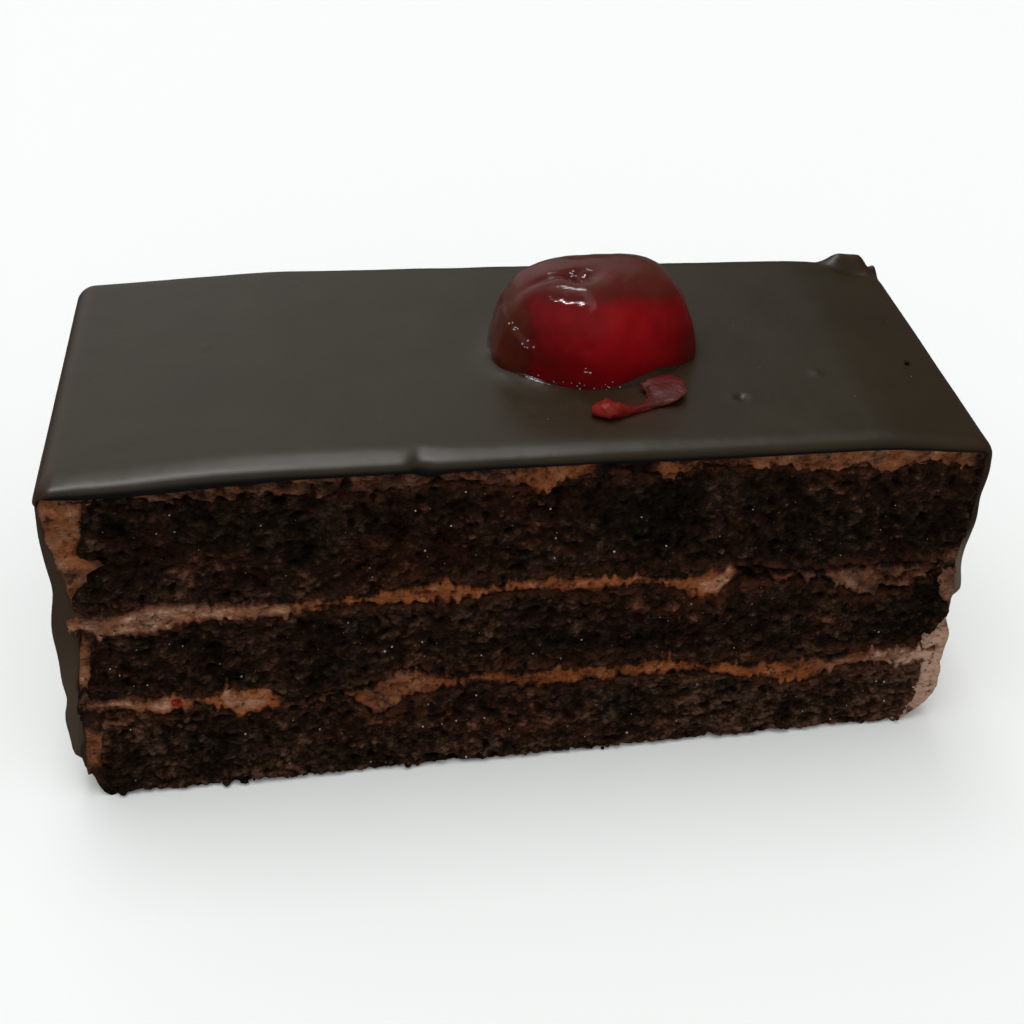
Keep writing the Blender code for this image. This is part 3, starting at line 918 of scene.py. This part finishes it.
def cherry():
    """The cherry, drawn in to a domed top with a dimple. Gives the places of its sugar grains
    painted as glints.
    """
    middle = Vector(settle(CHERRY_X, CHERRY_Y, CHERRY_MIDDLE))
    facets = [(Vector(way).normalized(), far) for way, far in CHERRY_FACETS]
    bm = bmesh.new()
    bmesh.ops.create_uvsphere(bm, u_segments=220, v_segments=150, radius=1.0)
    depth = bm.verts.layers.float.new("depth")
    sugar_glint_sites = []
    for vert in bm.verts:
        way = vert.co.normalized()
        flat = Vector((way.x, way.y - POLE_NUDGE))
        reach = flat.length
        flat /= reach
        total = sum(max(0.0, flat.dot(face) / far) ** FACET_SHARPNESS for face, far in facets)
        plan = total ** (-1.0 / FACET_SHARPNESS)
        power, height = CHERRY_FOOT_POWER, CHERRY_DOWN
        if way.z > 0.0:
            power = mix(CHERRY_SIDE_POWER, CHERRY_FRONT_POWER, ease(-flat.y))
            power = mix(power, CHERRY_BACK_POWER, ease(flat.y))
            height = CHERRY_UP
        size = ((reach / plan) ** power + (abs(way.z) / height) ** power) ** (-1.0 / power)
        x, y, z = size * way
        x *= 1.0 - CHERRY_TAPER * max(0.0, (z - CHERRY_WAIST) / (CHERRY_UP - CHERRY_WAIST))
        dimple = bump(math.hypot(x - DIMPLE_AT[0], 1.2 * (y - DIMPLE_AT[1])), 1.3)
        crease = bump(y + 1.0 - 0.12 * x, 0.55) * ease((-1.2 - x) / 2.0) * ease((9.0 + x) / 3.0)
        z -= ease((z - 2.8) / 3.0) * (DIMPLE_DEPTH * dimple + CREASE_DEPTH * crease)
        fold = dent = 0.0
        if y < 0.0:
            above, beside = by_fold(x, z)
            fold = ease(0.5 - above / 0.5) * ease(1.0 + above / 2.0) * bump(beside, 1.5)
            dent = 0.2 * bump(math.hypot(x + 2.0, z - 3.0), 0.7)
        point = Vector((x, y + dent, z)) + FOLD_RISE * fold * way
        point += way * (0.14 * noise.noise(point / 2.6) + 0.03 * noise.noise(point / 1.0))
        vert.co = point + middle
        if takes_sugar_glint(x, y, z):
            sugar_glint_sites.append(point + Vector((CHERRY_X, CHERRY_Y, CHERRY_MIDDLE)))
        vert[depth] = redness(x, y, z)
    finish("cherry", bm, CHERRY, ("cherry",), settled=False)
    return sugar_glint_sites


# The shred of cherry: the middle of its curl, the curl's radius and its ends, in degrees
SHRED_CENTRE = (9.0, -8.0)
SHRED_RADIUS = 7.0
SHRED_TURN = (-107.0, -7.0)
SHRED_BED = HEIGHT - 0.15

# Its half width and its thickness: the least, then more at its plump end and at its leaf,
# each as (how much, at what share of its run, how far that reaches)
SHRED_WIDE = (0.5, (1.05, 0.12, 0.13), (2.1, 0.80, 0.19))
SHRED_THICK = (0.7, (1.15, 0.12, 0.17), (0.2, 0.8, 0.25))


def swollen(profile, share):
    """Half width or thickness of the shred at a share of its run."""
    least, *swells = profile
    return sum((more * bump(share - place, reach) for more, place, reach in swells), least)


def cherry_shred():
    """Curl of cherry flesh: a plump red end, a thin neck and a flat leaf."""
    bm = bmesh.new()
    bmesh.ops.create_uvsphere(bm, u_segments=40, v_segments=80, radius=1.0)
    leaf = bm.verts.layers.float.new("leaf")
    for vert in bm.verts:
        across, up, run = vert.co
        share = 0.5 + 0.5 * run
        girth = math.sqrt(max(0.0, 1.0 - run * run))
        fullness = girth ** -0.65 if girth > 0.02 else 1.0
        turn = math.radians(mix(*SHRED_TURN, share))
        dent = 0.30 * wander(across * 1.4, up * 1.5, run * 5.0)
        dent += 0.12 * wander(across * 4.0, up, run * 14.0)
        reach = SHRED_RADIUS + across * fullness * swollen(SHRED_WIDE, share) * (1.0 + dent)
        thick = swollen(SHRED_THICK, share)
        z = SHRED_BED + thick * (0.5 + 0.5 * up * fullness * (1.0 + dent))
        z += ease((share - 0.55) / 0.4) * (0.6 + 0.7 * across * across)
        x = SHRED_CENTRE[0] + reach * math.cos(turn)
        vert.co = (x, SHRED_CENTRE[1] + reach * math.sin(turn), z)
        vert[leaf] = share
    finish("cherry_shred", bm, FLESH, ("cherry_shred",))


def syrup():
    """Film of wet syrup where the cherry sits on the glaze, widest at its front left."""

    def place(u, v, w):
        angle = math.radians(mix(150.0, 325.0, 0.5 + u / 2.0))
        spread = 0.5 + 0.7 * bump(u + 0.45, 0.22) + 0.3 * wander(2.5 * u, 0.0, 6.0)
        share = 0.5 + v / 2.0
        reach = mix(-1.2, spread * ease(3.0 * (1.0 - abs(u))), share)
        x = CHERRY_X + (CHERRY_HALF[0] + reach) * math.cos(angle)
        y = CHERRY_Y + (CHERRY_HALF[1] + reach) * math.sin(angle)
        rise = 0.8 * max(0.0, 1.0 - share) ** 2 - 0.08 * share
        return x, y, HEIGHT + pour(x, y) + (rise if w > 0.0 else -0.4)

    wet = Finish("dark_syrup")
    wet.set(Roughness=0.12, Specular_IOR_Level=0.2)
    wet.colour(wet.ramp(wet.noise(2.0, detail=2.0), (0.4, (0.016, 0.008, 0.0035)),
                        (0.6, (0.024, 0.009, 0.0045))))
    wet.relief((wet.noise(0.8, detail=2.0), 0.05),)
    finish("syrup", solid_grid(*SYRUP_GRID, place, ()), wet.material)


sugar_glint_sites = cherry()
cherry_shred()
syrup()


# -------- crumbs and glints


def scatter(name, material, lumps, around):
    """One joined piece of many small lumps, each as (x, y, z, size, squash)."""
    whole = bmesh.new()
    for start in range(0, len(lumps), LUMP_BATCH):
        bm = bmesh.new()
        tone = bm.verts.layers.float.new("crumb")
        for x, y, z, size, squash in lumps[start:start + LUMP_BATCH]:
            made = bmesh.ops.create_uvsphere(bm, u_segments=around, v_segments=around - 2,
                                             radius=size)
            turn = Matrix.Rotation(shake.uniform(0.0, math.tau), 3, "Y")
            shade = shake.uniform(0.35, 0.75)
            for vert in made["verts"]:
                knobbly = 1.0 + 0.6 * noise.noise(vert.co * (1.3 / size) + Vector((x, y, z)))
                spot = turn @ (vert.co * knobbly)
                spot.z *= squash
                vert.co = spot + Vector((x, y, z))
                vert[tone] = shade
        part = bpy.data.meshes.new(name)
        bm.to_mesh(part)
        bm.free()
        whole.from_mesh(part)
        bpy.data.meshes.remove(part)
    finish(name, whole, material)


shake = random.Random(7)

# How low the crumbs on the lower sponge lie
LOWEST_CRUMB = ((-46, 0.3), (46, 0.3))

# Each sponge's lower and upper edge at a cut, and its seed
SPONGE_FACES = ((LOWEST_CRUMB, LOWER_CREAM_BASE, LOWER_SEED),
                (LOWER_CREAM_TOP, UPPER_CREAM_BASE, MIDDLE_SEED),
                (UPPER_CREAM_TOP, COAT_BASE, UPPER_SEED))

# How many crumbs, painted glints and specks there are, by where they lie
FACE_CRUMBS, EDGE_CRUMBS, FOOT_CRUMBS = 260, 22, 70
FACE_GLINTS, RIM_GLINTS, CHERRY_GLINTS = 190, 26, 30
GLAZE_SPECKS = 26

# How many sides each kind of lump has, and how many lumps are joined at a time
CRUMB_AROUND = 7
GLINT_AROUND = 5
FLECK_AROUND = 8
LUMP_BATCH = 40

# The crumb that lies on the glaze and the red fleck in the cream, as (x, y, z, size, squash)
CRUMB_ON_GLAZE = (43.3, -5.4, HEIGHT + 0.1, 0.3, 0.7)
CHERRY_FLECK = ((-36.8, -DEPTH / 2.0 - 0.2, 12.2, 0.42, 0.7),
                (-36.3, -DEPTH / 2.0 - 0.2, 12.0, 0.3, 0.7))


def spot_on_sponge(side, margin):
    """Random place on a sponge at a cut face: side is -1 at the front and 1 at the back."""
    low_points, high_points, seed = shake.choice(SPONGE_FACES)
    x = shake.uniform(-44.0, 44.5)
    y = side * DEPTH / 2.0
    z = shake.uniform(level(low_points, x, y) + margin, level(high_points, x, y) - margin)
    return x, z, crumb_relief(x, z, seed + SPONGE_FACE_STEP * side)


def crumbs():
    """Loose crumbs on the cut faces, on the cream and along the bottom edges."""
    lumps = []
    for side in (-1.0, 1.0):
        for _ in range(FACE_CRUMBS):
            x, z, relief = spot_on_sponge(side, 0.2)
            size = shake.uniform(0.16, 0.40)
            lumps.append((x, side * (DEPTH / 2.0 + relief), z, size, shake.uniform(0.6, 0.9)))
        for points in (LOWER_CREAM_BASE, LOWER_CREAM_TOP, UPPER_CREAM_BASE, UPPER_CREAM_TOP,
                       COAT_BASE):
            for _ in range(EDGE_CRUMBS):
                x = shake.uniform(-44.5, 44.5)
                y = side * (DEPTH / 2.0 + 0.1)
                z = level(points, x, y) + shake.gauss(0.0, 0.45)
                lumps.append((x, y, z, shake.uniform(0.10, 0.24), shake.uniform(0.6, 1.0)))
        for _ in range(FOOT_CRUMBS):
            x = shake.uniform(-45.0, 45.0)
            size = shake.uniform(0.2, 0.5)
            y = side * (DEPTH / 2.0 + shake.uniform(-0.5, 0.1))
            lumps.append((x, y, shake.uniform(size, 1.3), size, shake.uniform(0.7, 0.95)))
    lumps.append(CRUMB_ON_GLAZE)
    scatter("crumbs", SPONGE, lumps, CRUMB_AROUND)


def glints():
    """Pale beads painted as glints on the torn sponge and round the cherry, and as sugar grains
    on the cherry.
    """
    lumps = []
    for side in (-1.0, 1.0):
        for _ in range(FACE_GLINTS):
            x, z, relief = spot_on_sponge(side, 0.5)
            size = 0.03 + 0.10 * shake.random() ** 3
            lumps.append((x, side * (DEPTH / 2.0 + relief + 0.05), z, size, 1.0))
    for _ in range(RIM_GLINTS):
        angle = math.radians(shake.uniform(225.0, 280.0))
        x = CHERRY_X + (CHERRY_HALF[0] + shake.uniform(-1.0, 0.6)) * math.cos(angle)
        y = CHERRY_Y + (CHERRY_HALF[1] + shake.uniform(-0.2, 0.5)) * math.sin(angle)
        lumps.append((x, y, HEIGHT + shake.uniform(0.3, 1.2), shake.uniform(0.03, 0.08), 1.0))
    for _ in range(CHERRY_GLINTS):
        x, y, z = shake.choice(sugar_glint_sites)
        lumps.append((x, y, z, shake.uniform(0.08, 0.18), 0.8))
    # Pale grey beads: painted highlights on the sponge and round the cherry's foot, sugar grains
    # painted as glints on it
    glint_finish = plain_finish("sugar_and_painted_glint", (0.42, 0.42, 0.44), 0.3, 0.5)
    scatter("sugar_glints", glint_finish, lumps, GLINT_AROUND)


def specks():
    """A few specks of dust on the glaze, and a fleck of cherry in the cream."""
    lumps = []
    for _ in range(GLAZE_SPECKS):
        x, y = shake.uniform(-45.0, 45.0), shake.uniform(-18.0, 19.0)
        if cherry_gap(x, y) > 1.0:
            lumps.append((x, y, HEIGHT + pour(x, y), shake.uniform(0.05, 0.11), 0.6))
    dust = plain_finish("glaze_dust", (0.09, 0.08, 0.065), 0.5, 0.4)
    scatter("glaze_specks", dust, lumps, CRUMB_AROUND)
    scatter("cherry_fleck", FLESH, CHERRY_FLECK, FLECK_AROUND)


crumbs()
glints()
specks()


# -------- floor, light and camera


def floor():
    """Plain pale floor."""
    bm = bmesh.new()
    bmesh.ops.create_grid(bm, x_segments=1, y_segments=1, size=6.0)
    mesh = bpy.data.meshes.new("floor")
    bm.to_mesh(mesh)
    bm.free()
    n = Finish("pale_floor")
    n.set(Base_Color=(0.885, 0.897, 0.89, 1.0), Roughness=0.9, Specular_IOR_Level=0.0)
    mesh.materials.append(n.material)
    sheet = bpy.data.objects.new("floor", mesh)
    sheet.visible_glossy = False
    bpy.context.collection.objects.link(sheet)


# Parts of the sky: the way each lies, where it starts and is full (as cosines), how bright
# it is, and how much of that shows in shiny surfaces
SKY = (
    ((0.0, 0.0, 1.0), -3.0, -2.0, 0.08, 1.0),
    ((-0.12, -0.50, 1.0), 0.25, 0.92, 1.00, 0.3),
    ((-0.30, 0.76, 0.54), 0.72, 1.0, 0.68, 1.0),
)
SKY_COLOUR = (0.985, 1.0, 0.99)


def sky():
    """Soft light from above and a little in front, with a dim horizon and a glow behind."""
    world = bpy.data.worlds.new("studio")
    world.use_nodes = True
    n = Nodes(world.node_tree)
    nodes = n.tree.nodes
    way = nodes.new("ShaderNodeTexCoord").outputs["Generated"]
    glossy = nodes.new("ShaderNodeLightPath").outputs["Is Glossy Ray"]
    total = 0.0
    for direction, start, full, strength, shine in SKY:
        dot = nodes.new("ShaderNodeVectorMath")
        dot.operation = "DOT_PRODUCT"
        dot.inputs[1].default_value = Vector(direction).normalized()
        n.link(way, dot.inputs[0])
        glow = n.math("MULTIPLY_ADD", glossy, strength * (shine - 1.0), strength)
        spread = nodes.new("ShaderNodeMapRange")
        spread.interpolation_type = "SMOOTHSTEP"
        for name, value in (("Value", dot.outputs["Value"]), ("From Min", start),
                            ("From Max", full), ("To Max", glow)):
            n.feed(spread.inputs[name], value)
        total = n.math("ADD", total, spread.outputs["Result"])
    n.feed(nodes["Background"].inputs["Color"], SKY_COLOUR)
    n.link(total, nodes["Background"].inputs["Strength"])
    bpy.context.scene.world = world


# Each lamp's place and size in metres, its power, and whether it gives the shine or the light
LAMPS = (
    ("softbox", (-0.16, 0.10, 3.0), (0.85, 3.0), 37.0, False),
    ("long_shine", (-0.06, 0.60, 3.0), (0.42, 2.60), 66.0, True),
    ("bar_shine", (-0.90, -0.05, 3.0), (0.85, 0.13), 34.0, True),
)


def lamps():
    """A long softbox overhead for the shadows, and two lamps that only give the shine."""
    for name, place, size, power, shines in LAMPS:
        lamp = bpy.data.lights.new(name, "AREA")
        lamp.shape = "RECTANGLE"
        lamp.size, lamp.size_y = size
        lamp.energy = power
        body = bpy.data.objects.new(name, lamp)
        body.location = place
        body.visible_glossy = shines
        body.visible_diffuse = not shines
        bpy.context.collection.objects.link(body)


# Where the camera stands, how it is turned, where it aims off the middle, and its lens
VIEW_AZIMUTH = math.radians(-8.27)
VIEW_ELEVATION = math.radians(34.56)
VIEW_ROLL = math.radians(1.92)
VIEW_DISTANCE = 185.2
VIEW_AIM_SIDE = 1.28
VIEW_AIM_UP = -1.07
LENS = 56.3


def camera():
    """Camera above and a little left of the front, turned slightly on its own axis."""
    back = Vector((math.sin(VIEW_AZIMUTH) * math.cos(VIEW_ELEVATION),
                   -math.cos(VIEW_AZIMUTH) * math.cos(VIEW_ELEVATION), math.sin(VIEW_ELEVATION)))
    level_right = Vector((math.cos(VIEW_AZIMUTH), math.sin(VIEW_AZIMUTH), 0.0))
    level_up = back.cross(level_right)
    right = math.cos(VIEW_ROLL) * level_right + math.sin(VIEW_ROLL) * level_up
    up = back.cross(right)
    aim = Vector((-OFF_CENTRE_X, -OFF_CENTRE_Y, 20.0)) + VIEW_AIM_SIDE * right + VIEW_AIM_UP * up
    data = bpy.data.cameras.new("camera")
    data.lens = LENS
    data.sensor_width = 36.0
    data.clip_start = 0.01
    body = bpy.data.objects.new("camera", data)
    body.matrix_world = Matrix.Translation(MM * (aim + VIEW_DISTANCE * back)) @ Matrix(
        (right, up, back)).transposed().to_4x4()
    bpy.context.collection.objects.link(body)
    bpy.context.scene.camera = body


floor()
sky()
lamps()
camera()
bpy.context.scene.view_settings.view_transform = "Standard"
